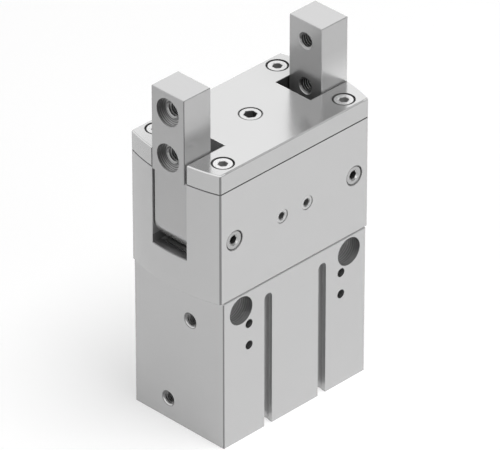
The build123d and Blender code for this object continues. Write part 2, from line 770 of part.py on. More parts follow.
# Left jaw: finger, hub, heel and gear segment as one profile about the pivot
start_angle = radians(180)
end_angle = radians(360 + tooth_step * gear_first_tooth)
with BuildPart() as left_jaw:
    with BuildSketch(front_plane(-pivot_x, pivot_z, 0)):
        Circle(root_radius)
        with BuildLine():
            Polyline(
                (-heel_radius, 0),
                (-heel_radius, step_rise),
                (-jaw_outer_offset, step_rise),
                (-jaw_outer_offset, jaw_rise),
                (jaw_inner_offset, jaw_rise),
                (jaw_inner_offset, 0),
                close=True,
            )
        make_face()
        with BuildLine():
            Line((0, 0), (-heel_radius, 0))
            ThreePointArc(
                polar(heel_radius, start_angle),
                polar(heel_radius, (start_angle + end_angle) / 2),
                polar(heel_radius, end_angle),
            )
            Line(polar(heel_radius, end_angle), (0, 0))
        make_face()
        for tooth in range(gear_first_tooth, gear_last_tooth + 1):
            centre = radians(tooth_step * (tooth + 0.5))
            base_half = involute_half_angle(base_circle)
            mid_radius = (base_circle + tip_radius) / 2
            mid_half = involute_half_angle(mid_radius)
            tip_half = involute_half_angle(tip_radius)
            inside = root_radius - tooth_foot
            with BuildLine():
                Line(polar(inside, centre - base_half), polar(base_circle, centre - base_half))
                ThreePointArc(
                    polar(base_circle, centre - base_half),
                    polar(mid_radius, centre - mid_half),
                    polar(tip_radius, centre - tip_half),
                )
                ThreePointArc(
                    polar(tip_radius, centre - tip_half),
                    polar(tip_radius, centre),
                    polar(tip_radius, centre + tip_half),
                )
                ThreePointArc(
                    polar(tip_radius, centre + tip_half),
                    polar(mid_radius, centre + mid_half),
                    polar(base_circle, centre + base_half),
                )
                Line(polar(base_circle, centre + base_half), polar(inside, centre + base_half))
                Line(polar(inside, centre + base_half), polar(inside, centre - base_half))
            make_face()
    extrude(amount=jaw_width / 2, both=True)
    upper_edges = left_jaw.edges().filter_by(Axis.Z).filter_by(lambda e: e.center().Z > pivot_z + heel_radius)
    chamfer(upper_edges + left_jaw.faces().sort_by(Axis.Z)[-1].edges(), jaw_edge)
    with BuildSketch(front_plane(-pivot_x, pivot_z, 0)):
        Circle(hub_bore)
    extrude(amount=jaw_width / 2, both=True, mode=Mode.SUBTRACT)
    for hole_z in (jaw_top - jaw_hole_drop, jaw_top - jaw_hole_drop - jaw_hole_spacing):
        with Locations(left_plane(0, hole_z, -pivot_x - jaw_outer_offset)):
            CounterBoreHole(jaw_hole_radius, jaw_seat_radius, jaw_seat_depth)
        with BuildSketch(left_plane(0, hole_z, -pivot_x - jaw_outer_offset + jaw_seat_depth)):
            Circle(jaw_hole_radius + thread_mouth)
        extrude(amount=-thread_mouth, taper=45, mode=Mode.SUBTRACT)
        with BuildSketch(Plane.YZ.offset(-pivot_x + jaw_inner_offset)):
            with Locations((0, hole_z)):
                Circle(jaw_hole_radius + thread_mouth)
        extrude(amount=-thread_mouth, taper=45, mode=Mode.SUBTRACT)
save(left_jaw.part, "left_jaw")

with BuildPart() as right_jaw:
    mirror(left_jaw.part, about=Plane.YZ)
save(right_jaw.part, "right_jaw")
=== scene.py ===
import json
from functools import reduce
from math import atan2, cos, pi, radians, sin

import bmesh
import bpy
from mathutils import Matrix, Vector


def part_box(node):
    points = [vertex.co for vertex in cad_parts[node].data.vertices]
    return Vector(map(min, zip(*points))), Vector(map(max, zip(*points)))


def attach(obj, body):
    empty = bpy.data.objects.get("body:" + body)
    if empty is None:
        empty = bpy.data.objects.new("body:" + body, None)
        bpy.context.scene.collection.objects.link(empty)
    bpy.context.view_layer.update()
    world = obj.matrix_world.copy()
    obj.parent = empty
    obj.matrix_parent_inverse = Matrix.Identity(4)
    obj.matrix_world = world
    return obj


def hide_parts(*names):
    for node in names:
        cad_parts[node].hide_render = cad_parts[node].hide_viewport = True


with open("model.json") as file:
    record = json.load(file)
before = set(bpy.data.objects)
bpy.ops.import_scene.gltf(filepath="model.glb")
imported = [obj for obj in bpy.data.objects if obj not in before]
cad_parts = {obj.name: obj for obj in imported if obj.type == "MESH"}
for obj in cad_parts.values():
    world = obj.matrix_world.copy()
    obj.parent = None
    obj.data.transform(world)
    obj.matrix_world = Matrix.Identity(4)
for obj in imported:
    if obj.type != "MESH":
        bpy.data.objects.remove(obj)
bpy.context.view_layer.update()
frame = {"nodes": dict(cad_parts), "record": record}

# Radial gripper. Shapes are in metres in the frame of the CAD pieces, at the closed pose.
# Materials count in millimetres of the same frame.
mm = 0.001
nodes = frame["nodes"]
scene = bpy.context.scene
print("frame loaded:", len(nodes), "CAD nodes")


# Camera: a long lens, at the photograph's angle
cameraValues = {
    "azimuth": -45.195,      # degrees, 0 looks along +Y
    "elevation": 32.484,
    "distance": 2169.3 * mm,
    "aimHeight": 60.0 * mm,
    "aimRight": -0.14 * mm,
    "aimUp": 4.6 * mm,
    "focalPixels": 6351.7,   # focal length in pixels of the 500 pixel wide frame
    "frameWidth": 500,
    "sensorWidth": 36.0,
    "clipEnd": 20,
}


def towards(azimuth, elevation):
    # Direction from the object, with 0 degrees straight in front
    a = radians(azimuth)
    e = radians(elevation)
    return Vector((sin(a) * cos(e), -cos(a) * cos(e), sin(e)))


def makeCamera(values):
    azimuth = radians(values["azimuth"])
    back = towards(values["azimuth"], values["elevation"])
    right = Vector((cos(azimuth), sin(azimuth), 0))
    up = back.cross(right)
    aim = Vector((0, 0, values["aimHeight"])) + right * values["aimRight"] + up * values["aimUp"]
    data = bpy.data.cameras.new("photoCamera")
    data.sensor_width = values["sensorWidth"]
    data.lens = values["focalPixels"] / values["frameWidth"] * values["sensorWidth"]
    data.clip_end = values["clipEnd"]
    camera = bpy.data.objects.new("photoCamera", data)
    turn = Matrix((right, up, back)).transposed().to_4x4()
    camera.matrix_world = Matrix.Translation(aim + back * values["distance"]) @ turn
    scene.collection.objects.link(camera)
    scene.camera = camera


makeCamera(cameraValues)
print("camera placed")


# Node trees: materials and their textures
def newMaterial(name):
    material = bpy.data.materials.new(name)
    material.use_nodes = True
    tree = material.node_tree
    return material, tree, tree.nodes["Principled BSDF"]


def addNode(tree, kind, **settings):
    node = tree.nodes.new(kind)
    for key, value in settings.items():
        setattr(node, key, value)
    return node


def objectPoint(tree, stretch=(1, 1, 1)):
    # Object coordinates, in millimetres after the mapping
    coords = addNode(tree, "ShaderNodeTexCoord")
    mapping = addNode(tree, "ShaderNodeMapping")
    mapping.inputs["Scale"].default_value = [share / mm for share in stretch]
    tree.links.new(coords.outputs["Object"], mapping.inputs["Vector"])
    return mapping.outputs["Vector"]


def splitPoint(tree, point):
    node = addNode(tree, "ShaderNodeSeparateXYZ")
    tree.links.new(point, node.inputs["Vector"])
    return node.outputs["X"], node.outputs["Y"], node.outputs["Z"]


def noise(tree, vector, scale, detail=2.0, rough=0.5):
    node = addNode(tree, "ShaderNodeTexNoise")
    node.inputs["Scale"].default_value = scale
    node.inputs["Detail"].default_value = detail
    node.inputs["Roughness"].default_value = rough
    tree.links.new(vector, node.inputs["Vector"])
    return node.outputs["Fac"]


def remap(tree, value, low, high, fromLow=0.0, fromHigh=1.0):
    node = addNode(tree, "ShaderNodeMapRange")
    node.inputs["From Min"].default_value = fromLow
    node.inputs["From Max"].default_value = fromHigh
    node.inputs["To Min"].default_value = low
    node.inputs["To Max"].default_value = high
    tree.links.new(value, node.inputs["Value"])
    return node.outputs["Result"]


def bump(tree, shader, height, strength, distance):
    node = addNode(tree, "ShaderNodeBump")
    node.inputs["Strength"].default_value = strength
    node.inputs["Distance"].default_value = distance
    tree.links.new(height, node.inputs["Height"])
    tree.links.new(node.outputs["Normal"], shader.inputs["Normal"])


# Node trees: sums and comparisons
def mathNode(tree, operation, *values):
    node = addNode(tree, "ShaderNodeMath", operation=operation)
    for socket, value in zip(node.inputs, values):
        if isinstance(value, (int, float)):
            socket.default_value = value
        else:
            tree.links.new(value, socket)
    return node.outputs["Value"]


def product(tree, *factors):
    return reduce(lambda first, second: mathNode(tree, "MULTIPLY", first, second), factors)


def total(tree, first, second):
    return mathNode(tree, "ADD", first, second)


def past(tree, value, start):
    return mathNode(tree, "SUBTRACT", value, start)


def above(tree, value, limit):
    return mathNode(tree, "GREATER_THAN", value, limit)


def below(tree, value, limit):
    return mathNode(tree, "LESS_THAN", value, limit)


def unsigned(tree, value):
    return mathNode(tree, "ABSOLUTE", value)


def wave(tree, value, pitch):
    return mathNode(tree, "SINE", product(tree, value, 2 * pi / pitch))


def bandMask(tree, value, middle, half):
    return mathNode(tree, "COMPARE", value, middle, half)


def spanFrom(tree, first, second, place):
    # Distance from a place in the plane of two coordinates
    squares = [
        mathNode(tree, "POWER", past(tree, value, middle), 2)
        for value, middle in zip((first, second), place)]
    return mathNode(tree, "SQRT", total(tree, *squares))


def circleMask(tree, first, second, place, radius):
    # 1 round a place and round its mirror image across the first coordinate
    return below(tree, spanFrom(tree, unsigned(tree, first), second, place), radius)


def ringMask(tree, first, second, place, inner, outer):
    span = spanFrom(tree, unsigned(tree, first), second, place)
    return product(tree, above(tree, span, inner), below(tree, span, outer))


def cornerMask(tree, x, y, corner):
    # 1 on the eased upright corners, 0 elsewhere
    xShare, yShare, reach = corner
    xPart = product(tree, unsigned(tree, x), xShare)
    yPart = product(tree, unsigned(tree, y), yShare)
    return above(tree, total(tree, xPart, yPart), reach)


# Node trees: colours
def mixColours(tree, colour, other, mask):
    # The other colour where the mask is 1
    node = addNode(tree, "ShaderNodeMix", data_type="RGBA")
    tree.links.new(mask, node.inputs["Factor"])
    for name, value in (("A", colour), ("B", other)):
        if isinstance(value, tuple):
            node.inputs[name].default_value = (*value, 1)
        else:
            tree.links.new(value, node.inputs[name])
    return node.outputs["Result"]


def greyMix(tree, middle, spread, mask):
    low = middle - spread
    high = middle + spread
    return mixColours(tree, (low, low, low), (high, high, high), mask)


def tint(tree, colour, mask, grey):
    return mixColours(tree, colour, (grey, grey, grey), mask)


def toneRamp(tree, value, low, high, greys):
    # Greys at even steps along a value that runs from low to high
    node = addNode(tree, "ShaderNodeValToRGB")
    stops = node.color_ramp.elements
    stops[0].color = (greys[0], greys[0], greys[0], 1)
    stops[-1].color = (greys[-1], greys[-1], greys[-1], 1)
    for index, grey in enumerate(greys[1:-1], 1):
        stops.new(index / (len(greys) - 1)).color = (grey, grey, grey, 1)
    tree.links.new(remap(tree, value, 0, 1, low, high), node.inputs["Fac"])
    return node.outputs["Color"]


# Blasted and anodised aluminium
aluminiumValues = {
    "grey": 0.6,
    "cloud": 0.008,          # slow change of tone across a face
    "cloudScale": 0.05,
    "metallic": 0.6,
    "roughness": 0.2,
    "polish": 0.02,          # how far the roughness strays
    "polishScale": 0.6,
    "grain": 0.006,          # height of the blasted grain
    "grainScale": 2.2,
    "grainDetail": 3,
    "grainRough": 0.6,
    "relief": 0.5,           # strength of all the relief
    "cornerShadeGrey": 0.24,      # painted shade on the eased corners, in place of the dark reflection they show
    # painted shade in the groove under the cover
    "seamShadeGrey": 0.13,
}


def blastedAluminium(name, values, paintedLight=None):
    # this paints light and shade onto the piece's colour and adds to the relief
    material, tree, shader = newMaterial(name)
    point = objectPoint(tree)
    place = splitPoint(tree, point)
    x, y, z = place
    tone = noise(tree, point, values["cloudScale"])
    colour = greyMix(tree, values["grey"], values["cloud"], tone)
    # painted shade: the eased corners darker
    if "corner" in values:
        colour = tint(tree, colour, cornerMask(tree, x, y, values["corner"]), values["cornerShadeGrey"])
    # painted shade in the groove under the cover
    if "seam" in values:
        colour = tint(tree, colour, bandMask(tree, z, *values["seam"]), values["seamShadeGrey"])
    grain = noise(tree, point, values["grainScale"], values["grainDetail"], values["grainRough"])
    relief = product(tree, grain, values["grain"])
    if paintedLight:
        colour, relief = paintedLight(tree, place, colour, relief, values)
    roughness = values["roughness"]
    polish = noise(tree, point, values["polishScale"])
    polish = remap(tree, polish, roughness - values["polish"], roughness + values["polish"])
    tree.links.new(polish, shader.inputs["Roughness"])
    shader.inputs["Metallic"].default_value = values["metallic"]
    tree.links.new(colour, shader.inputs["Base Color"])
    bump(tree, shader, relief, values["relief"], mm)
    return material


# Block: painted light and shade in the screw wells, taps and sensor slots of the front, and in the
# air ports' mouths
portPlaces = tuple(
    tuple(mount["pos_m"][axis] / mm for axis in (1, 2))
    for mount in frame["record"]["mounts"] if mount["name"].endswith("air_port"))
blockValues = {
    **aluminiumValues,
    "corner": (1.0, 1.0, 55.735),        # x share, y share and the reach past which a corner starts
    "frontEnd": -7,                      # y up to which the holes of the front get painted light and shade
    "well": {
        "place": (26.14, 52.6),
        "reach": 5.4,
        "heights": (47.2, 58.0),
        "greys": (0.8, 1.0, 0.85, 1.0, 0.8, 1.0),             # painted light and shade up the wall
        "depths": (-21.5, -8.5),
        "depthShades": (0.34, 0.36, 0.56, 0.9, 1.0, 1.0, 1.0),     # painted light and shade: shares of those greys, inwards
        "streakStretch": (0.1, 1.6, 0.1),
        "streakShift": 3.0,              # how far painted reflection streaks shift the greys up or down
        "ringPitch": 0.9,
        "ringShift": 1.3,                # how far turned rings shift the painted shade
        "linePitch": 1.1,
        "lineDepth": 0.03,               # turned lines in the relief
    },
    # painted shade in the front taps
    "taps": {"places": ((22.35, 37.0), (22.35, 45.67)), "reach": 1.68, "grey": 0.1},
    # painted shade: the sunk channel a little darker
    "channel": {"place": 13.1, "half": 2.35, "frontEnd": -21.4, "grey": 0.57},
    "port": {
        "places": portPlaces,
        "end": -34.0,                    # x up to which a port's mouth gets painted light and shade
        "reach": 3.02,
        "heights": (-3.0, 3.0),
        "greys": (0.8, 0.85, 0.3, 0.16, 0.2, 0.3),            # painted light and shade up the mouth, lit below
        # painted shade on the outer rim of each mouth
        "rimStart": 2.82,
        "rimShadeGrey": 0.3,
    },
}


# Painted light and shade in the screw wells, with painted reflection streaks, and turned lines in
# the relief
def wellPaintedLight(tree, place, colour, relief, front, values):
    x, y, z = place
    inside = product(tree, front, circleMask(tree, x, z, values["place"], values["reach"]))
    streaks = noise(tree, objectPoint(tree, values["streakStretch"]), 1.0, 3)
    streaks = remap(tree, streaks, -values["streakShift"], values["streakShift"])
    greys = toneRamp(tree, total(tree, z, streaks), *values["heights"], values["greys"])
    rings = product(tree, wave(tree, y, values["ringPitch"]), values["ringShift"])
    depthShades = toneRamp(tree, total(tree, y, rings), *values["depths"], values["depthShades"])
    colour = mixColours(tree, colour, product(tree, greys, depthShades), inside)
    lines = product(tree, inside, wave(tree, y, values["linePitch"]), values["lineDepth"])
    return colour, total(tree, relief, lines)


# Painted light and shade in the air ports' mouths
def portPaintedLight(tree, place, colour, values):
    x, y, z = place
    end = below(tree, x, values["end"])
    for port in values["places"]:
        span = spanFrom(tree, y, z, port)
        mouth = product(tree, end, below(tree, span, values["reach"]))
        greys = toneRamp(tree, past(tree, z, port[1]), *values["heights"], values["greys"])
        colour = mixColours(tree, colour, greys, mouth)
        rim = product(tree, mouth, above(tree, span, values["rimStart"]))
        colour = tint(tree, colour, rim, values["rimShadeGrey"])
    return colour


def blockPaintedLight(tree, place, colour, relief, values):
    x, y, z = place
    front = below(tree, y, values["frontEnd"])
    colour, relief = wellPaintedLight(tree, place, colour, relief, front, values["well"])
    # painted shade in the front taps
    taps = values["taps"]
    for tapPlace in taps["places"]:
        tap = product(tree, front, circleMask(tree, x, z, tapPlace, taps["reach"]))
        colour = tint(tree, colour, tap, taps["grey"])
    # painted shade: the sunk channel a little darker
    channel = values["channel"]
    sunk = product(tree, front, above(tree, y, channel["frontEnd"]))
    across = bandMask(tree, unsigned(tree, x), channel["place"], channel["half"])
    colour = tint(tree, colour, product(tree, across, sunk), channel["grey"])
    return portPaintedLight(tree, place, colour, values["port"]), relief


# Housing: painted shade at the slot's foot and round the rims of the pivot plugs' holes
shellValues = {
    **aluminiumValues,
    "corner": (0.5857, 0.8105, 37.695),
    "seam": (102.5, 0.24),               # height and half width of the painted shade in the groove under the cover
}
housingValues = {
    **shellValues,
    "slotFoot": (73.8, 1.65, 8.22),      # height, half height and half width of the painted shade at the slot's foot
    "slotShadeGrey": 0.34,
    "pivotRims": ((28.85, 81.8), 3.69, 3.9),     # place, inner and outer radius of the painted shade round the holes
    "pivotRimShadeGrey": 0.28,
}


def housingPaintedLight(tree, place, colour, relief, values):
    x, y, z = place
    height, half, halfWidth = values["slotFoot"]
    inSlot = below(tree, unsigned(tree, y), halfWidth)
    foot = product(tree, bandMask(tree, z, height, half), inSlot)
    colour = tint(tree, colour, foot, values["slotShadeGrey"])
    rims = product(tree, below(tree, y, 0), ringMask(tree, x, z, *values["pivotRims"]))
    return tint(tree, colour, rims, values["pivotRimShadeGrey"]), relief


# Cover: painted shade round the plug hole's rim and on the notch walls, painted light on the upper
# edge's ends and the notches' inner ends, and relief on the upper front edge
coverValues = {
    **shellValues,
    "grey": 0.55,
    "metallic": 0.75,
    # painted shade round the plug hole's rim
    "plugRim": ((0, 0), 4.08, 4.4),
    "plugRimShadeGrey": 0.3,
    "edgeBand": (109.775, 0.14),         # height and half height of the upper edge
    "endEdge": (33.2, 8.25),             # x and y past which the edge is at an end
    # painted highlight on the upper edge at the ends
    "endHighlightGrey": 0.8,
    "frontEdge": -20.7,                  # y up to which the edge is at the front
    "frontSlope": 1.6,                   # of its relief
    "notchStart": 20.3,                  # x past which the notches lie
    "notchWalls": (8.25, 0.2),           # their y and its half width
    # painted shade on the notch walls
    "notchWallShadeGrey": 0.14,
    "notchEnds": (20.45, 0.1),           # x of the inner ends and its half width
    # painted light on the notches' inner ends
    "notchEndLitGrey": 1.0,
}


def coverPaintedLight(tree, place, colour, relief, values):
    x, y, z = place
    across = unsigned(tree, x)
    along = unsigned(tree, y)
    rim = ringMask(tree, x, y, *values["plugRim"])
    colour = tint(tree, colour, rim, values["plugRimShadeGrey"])
    edge = bandMask(tree, z, *values["edgeBand"])
    endX, endY = values["endEdge"]
    ends = product(tree, edge, above(tree, across, endX), above(tree, along, endY))
    colour = tint(tree, colour, ends, values["endHighlightGrey"])
    walls = product(tree, above(tree, across, values["notchStart"]),
                    bandMask(tree, along, *values["notchWalls"]))
    colour = tint(tree, colour, walls, values["notchWallShadeGrey"])
    inner = product(tree, bandMask(tree, across, *values["notchEnds"]),
                    below(tree, along, values["notchWalls"][0]))
    colour = tint(tree, colour, inner, values["notchEndLitGrey"])
    front = product(tree, edge, below(tree, y, values["frontEdge"]))
    rise = product(tree, past(tree, z, values["edgeBand"][0]), values["frontSlope"])
    return colour, total(tree, relief, product(tree, front, rise))


# Satin steel, with the streaks of its grinding
streakValues = {
    "stretch": (3, 3, 0.3),
    "scale": 1.2,
    "detail": 3,
    "tone": 0.02,            # share by which they change the grey
    "polish": 0.03,          # how far they change the roughness
    "depth": 0.006,
    "strength": 0.2,
}
steelValues = {
    # name: grey, metallic, roughness
    "screw": (0.68, 0.6, 0.28),
    "plug": (0.6, 0.75, 0.26),
    "pin": (0.7, 1.0, 0.18),
    "gear": (0.5, 1.0, 0.3),
    "spring": (0.12, 0.9, 0.4),
}


def satinSteel(name, grey, metallic, roughness, strength=streakValues["strength"], paintedLight=None):
    material, tree, shader = newMaterial(name)
    point = objectPoint(tree, streakValues["stretch"])
    streaks = noise(tree, point, streakValues["scale"], streakValues["detail"])
    colour = greyMix(tree, grey, grey * streakValues["tone"], streaks)
    # painted light and shade of the piece over the streaked grey
    if paintedLight:
        colour = paintedLight(tree, splitPoint(tree, objectPoint(tree)), colour)
    tree.links.new(colour, shader.inputs["Base Color"])
    low = roughness - streakValues["polish"]
    high = roughness + streakValues["polish"]
    tree.links.new(remap(tree, streaks, low, high), shader.inputs["Roughness"])
    shader.inputs["Metallic"].default_value = metallic
    bump(tree, shader, product(tree, streaks, streakValues["depth"]), strength, mm)
    return material


# Jaws: painted light and shade up the front face, painted shade on the corners and painted light
# and shade in the turned screw seats
jawValues = {
    "steel": (0.51, 0.6, 0.24),
    "strength": 0.03,
    "frontEnd": -7.6,                    # y up to which it is the front face
    "frontHeights": (110, 124),
    # painted light and shade up the front face, lighter at its foot
    "frontShadingGreys": (0.74, 0.7, 0.62, 0.55, 0.51),
    "corner": (1.0, 1.0, 46.55),
    # painted shade on the eased corners
    "cornerShadeGrey": 0.14,
    "seats": ((0, 127.3), (0, 109.6)),   # their y and z
    "seatLevels": (36.3, 38.98),         # x of their floor and mouth
    "seatReach": 5.4,
    "seatHeights": (-8.0, 4.0),
    "seatShadingGreys": (1.0, 0.8, 0.42, 0.24, 0.18, 0.3, 0.38),     # painted light and shade up the wall
    "linePitch": 0.85,
    "lineShift": 1.6,                    # how far turned lines shift the painted light and shade
}


def jawPaintedLight(tree, place, colour):
    values = jawValues
    x, y, z = place
    front = below(tree, y, values["frontEnd"])
    greys = toneRamp(tree, z, *values["frontHeights"], values["frontShadingGreys"])
    colour = mixColours(tree, colour, greys, front)
    colour = tint(tree, colour, cornerMask(tree, x, y, values["corner"]), values["cornerShadeGrey"])
    level = unsigned(tree, x)
    floor, mouth = values["seatLevels"]
    sunk = product(tree, above(tree, level, floor), below(tree, level, mouth))
    for seat in values["seats"]:
        span = spanFrom(tree, y, z, seat)
        inside = product(tree, sunk, below(tree, span, values["seatReach"]))
        lines = wave(tree, total(tree, span, level), values["linePitch"])
        lines = product(tree, lines, values["lineShift"])
        height = total(tree, past(tree, z, seat[1]), lines)
        greys = toneRamp(tree, height, *values["seatHeights"], values["seatShadingGreys"])
        colour = mixColours(tree, colour, greys, inside)
    return colour


# Moulded or sintered pieces: a fine speckle in tone and surface
speckleValues = {
    "scale": 3.0,
    "detail": 4,
    "rough": 0.6,
    "dark": 0.85,            # shares of the colour
    "light": 1.12,
    "strength": 0.2,
    "depth": 0.02 * mm,
}
softValues = {
    # name: colour, roughness, metallic
    "seal": ((0.02, 0.02, 0.02), 0.55, 0.0),
    "bumper": ((0.05, 0.05, 0.055), 0.7, 0.0),
    "bronze": ((0.55, 0.36, 0.17), 0.4, 1.0),
    "magnet": ((0.04, 0.04, 0.045), 0.5, 0.2),
    "guide": ((0.72, 0.69, 0.62), 0.45, 0.0),
}


def plainFinish(name, colour, roughness, metallic):
    values = speckleValues
    material, tree, shader = newMaterial(name)
    speckle = noise(tree, objectPoint(tree), values["scale"], values["detail"], values["rough"])
    dark = tuple(part * values["dark"] for part in colour)
    light = tuple(part * values["light"] for part in colour)
    tree.links.new(mixColours(tree, dark, light, speckle), shader.inputs["Base Color"])
    shader.inputs["Roughness"].default_value = roughness
    shader.inputs["Metallic"].default_value = metallic
    bump(tree, shader, speckle, values["strength"], values["depth"])
    return material


finishes = {
    "block_aluminium": blastedAluminium("blastedBlock", blockValues, blockPaintedLight),
    "housing_aluminium": blastedAluminium("blastedHousing", housingValues, housingPaintedLight),
    "cover_aluminium": blastedAluminium("blastedCover", coverValues, coverPaintedLight),
    "cap_aluminium": blastedAluminium("turnedCap", aluminiumValues),
    "jaw_steel": satinSteel("satinJaw", *jawValues["steel"], jawValues["strength"], jawPaintedLight),
    "screw_steel": satinSteel("brightScrew", *steelValues["screw"]),
    "plug_steel": satinSteel("satinPlug", *steelValues["plug"]),
    "pin_steel": satinSteel("groundPin", *steelValues["pin"]),
    "gear_steel": satinSteel("cutGear", *steelValues["gear"]),
    "spring_steel": satinSteel("darkSpring", *steelValues["spring"]),
    "seal_rubber": plainFinish("blackSeal", *softValues["seal"]),
    "bumper_rubber": plainFinish("greyBumper", *softValues["bumper"]),
    "bearing_bronze": plainFinish("sinteredBronze", *softValues["bronze"]),
    "magnet_plastic": plainFinish("magnetBand", *softValues["magnet"]),
    "guide_plastic": plainFinish("guideBand", *softValues["guide"]),
}
for subpart in frame["record"]["subparts"]:
    materials = nodes[subpart["node"]].data.materials
    materials.clear()
    materials.append(finishes[subpart["material_slot"]])
print("finishes given to", len(nodes), "nodes")


# Finishes of single faces of threads and fasteners, most of them lit and shaded copies of the steel
# that paint light and shade: grey, metallic, roughness
detailValues = {
    "litCrest": (1.0, 0.6, 0.3),
    "shadedCrest": (0.04, 0.6, 0.3),
    "litFlank": (0.52, 0.6, 0.3),
    "shadedInnerFlank": (0.13, 0.6, 0.3),
    "shadedTapFlank": (0.06, 0.6, 0.35),
    "litMouth": (0.5, 0.6, 0.25),
    "shadedMouth": (0.22, 0.6, 0.3),
    # painted shade inside the key sockets
    "shadedScrewSocket": (0.42, 0.6, 0.35),
    "shadedPlugSocket": (0.2, 0.6, 0.35),
    "shadedPivotSocket": (0.12, 0.6, 0.35),
    "shadedGuideSocket": (0.3, 0.6, 0.35),
    "pivotFace": (0.46, 0.75, 0.26),
    # painted shade on the pivot plugs' rims, in the gap round them
    "pivotRim": (0.03, 0.3, 0.5),
    "darkRim": (0.12, 0.6, 0.35),
    "softRim": (0.4, 0.6, 0.35),
}
details = {name: satinSteel(name, *values) for name, values in detailValues.items()}


def sortFaces(mesh):
    # The mesh operators leave faces in an order that changes from run to run
    mesh.verts.index_update()
    count = len(mesh.verts)

    def rank(face):
        corners = [vert.index for vert in face.verts]
        return min(corners) * count + max(corners)

    mesh.faces.sort(key=rank)


def finishPiece(name, mesh, body, finish):
    sortFaces(mesh)
    data = bpy.data.meshes.new(name)
    mesh.to_mesh(data)
    mesh.free()
    for polygon in data.polygons:
        polygon.use_smooth = False
    piece = bpy.data.objects.new(name, data)
    scene.collection.objects.link(piece)
    for part in finish:
        data.materials.append(finishes.get(part) or details[part])
    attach(piece, body)
    return piece


def mountPoint(name):
    mount = next(m for m in frame["record"]["mounts"] if m["name"] == name)
    return Vector(mount["pos_m"]), Vector(mount["axis"]), mount["dims"]


def halves():
    # The four corners of a pattern, as shares of its spacings
    return [(column, row) for column in (-0.5, 0.5) for row in (-0.5, 0.5)]


# Threads that show in the open holes, as ridges on the wall of each hole. Each has three finishes,
# lit and shaded copies of the steel: of its inward flank, its crest and the flank that faces the
# mouth.
ridgeValues = {
    "overlap": 0.02 * mm,    # how far a ridge reaches into the wall
    "foot": (0.06, 0.94),    # shares of the pitch between which it stands
    "crest": (0.36, 0.64),
    "mouthwards": 0.3,       # share of a flank's normal that makes it face the mouth
    "litShare": 0.1,         # how far below a hole's axis the lit part of its mouth begins
    "mouthSteps": 48,
    "weld": 0.001 * mm,
}


def spunRing(origin, axis, profile):
    # A closed profile of radii and depths along the axis, as one face to spin
    side = axis.orthogonal().normalized()
    mesh = bmesh.new()
    ring = [mesh.verts.new(origin + side * radius + axis * depth) for radius, depth in profile]
    face = mesh.faces.new(ring)
    return mesh, {"geom": [face, *face.edges, *face.verts], "cent": origin, "axis": axis}


def threadRidge(name, start, axis, length, values, body, slot):
    # One V-shaped ridge wound along the hole from its mouth inwards
    origin = Vector(start)
    axis = Vector(axis).normalized()
    pitch = values["pitch"]
    turns = int((length - pitch) / pitch)
    foot = values["major"] + ridgeValues["overlap"]
    crest = values["minor"]
    footStart, footEnd = (share * pitch for share in ridgeValues["foot"])
    crestStart, crestEnd = (share * pitch for share in ridgeValues["crest"])
    profile = ((foot, footStart), (crest, crestStart), (crest, crestEnd), (foot, footEnd))
    mesh, spinning = spunRing(origin, axis, profile)
    steps = turns * values["steps"]
    bmesh.ops.spin(
        mesh,
        **spinning,
        dvec=axis * (pitch * turns / steps),
        angle=2 * pi * turns,
        steps=steps,
        use_duplicate=False,
    )
    rims = [edge for edge in mesh.edges if edge.is_boundary]
    if rims:
        bmesh.ops.holes_fill(mesh, edges=rims, sides=0)
    bmesh.ops.recalc_face_normals(mesh, faces=mesh.faces)
    for face in mesh.faces:
        offsets = [vert.co - origin for vert in face.verts]
        reach = max((offset - axis * offset.dot(axis)).length for offset in offsets)
        if reach < crest + ridgeValues["overlap"]:
            face.material_index = 1
        elif face.normal.dot(axis) < -ridgeValues["mouthwards"]:
            face.material_index = 2
    return finishPiece(name, mesh, body, values["finish"])


def threadMouth(name, start, axis, values, body, slot):
    # Countersunk ring in front of a thread: a cone, flat behind
    origin = Vector(start)
    outer = values["major"] + ridgeValues["overlap"]
    sink = values["sink"]
    profile = ((outer, 0.0), (values["minor"], sink), (outer, sink))
    mesh, spinning = spunRing(origin, Vector(axis).normalized(), profile)
    bmesh.ops.spin(
        mesh,
        **spinning,
        angle=2 * pi,
        steps=ridgeValues["mouthSteps"],
        use_merge=True,
        use_duplicate=False,
    )
    bmesh.ops.remove_doubles(mesh, verts=mesh.verts, dist=ridgeValues["weld"])
    caps = [face for face in mesh.faces if len(face.verts) == len(profile)]
    bmesh.ops.delete(mesh, geom=caps, context="FACES_ONLY")
    bmesh.ops.recalc_face_normals(mesh, faces=mesh.faces)
    litFoot = origin.z - outer * ridgeValues["litShare"]
    for face in mesh.faces:
        if face.calc_center_median().z > litFoot:
            face.material_index = 1
    return finishPiece(name, mesh, body, (values["mouthFinish"], "shadedMouth"))


# Threads of the jaws: through, from the seat in the outer face to the inner face
jawThreadValues = {
    "major": 3.0 * mm, "minor": 2.46 * mm, "pitch": 1.0 * mm, "steps": 36,
    "seatDepth": 2.4 * mm,
    "mouth": 0.25 * mm,      # how far behind the face the countersunk ring starts
    "sink": 0.3 * mm,
    "mouthFinish": "litMouth",
    # painted light: the right jaw's crests lit, the left's shaded
    "crests": {"left": "shadedCrest", "right": "litCrest"},
}


